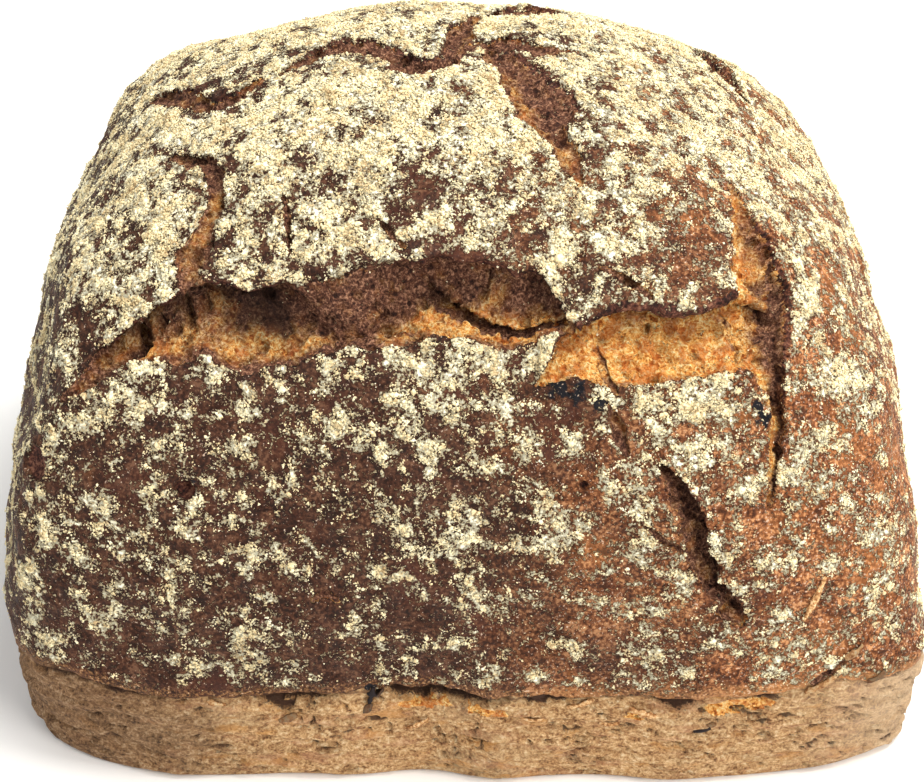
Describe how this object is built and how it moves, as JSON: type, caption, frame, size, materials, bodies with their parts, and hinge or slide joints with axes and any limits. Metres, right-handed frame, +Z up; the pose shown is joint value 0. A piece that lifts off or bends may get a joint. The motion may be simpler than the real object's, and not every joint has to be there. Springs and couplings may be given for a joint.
{
  "type": "rye bread loaf",
  "caption": "Tin-baked rye bread loaf with a domed, torn and flour-dusted crust over a paler band that the tin held.",
  "frame": {"origin": "centre of the loaf's own box at its flat base", "axes": "+Z up, +X along the loaf's long side to the right as the torn shoulder is faced, -Y towards the front with the long shoulder tear"},
  "size_m": [0.1664, 0.1268, 0.1141],
  "materials": {
    "crust": "matte dark brown rye crust, redder to the right",
    "pan_crust": "matte tan band with fine level streaks, where the tin held the dough",
    "crumb": "rough moist orange-brown crumb in the tears",
    "flour": "loose cream flour in clumps and specks"
  },
  "bodies": {
    "root": {"loaf": "crust"}
  },
  "joints": []
}
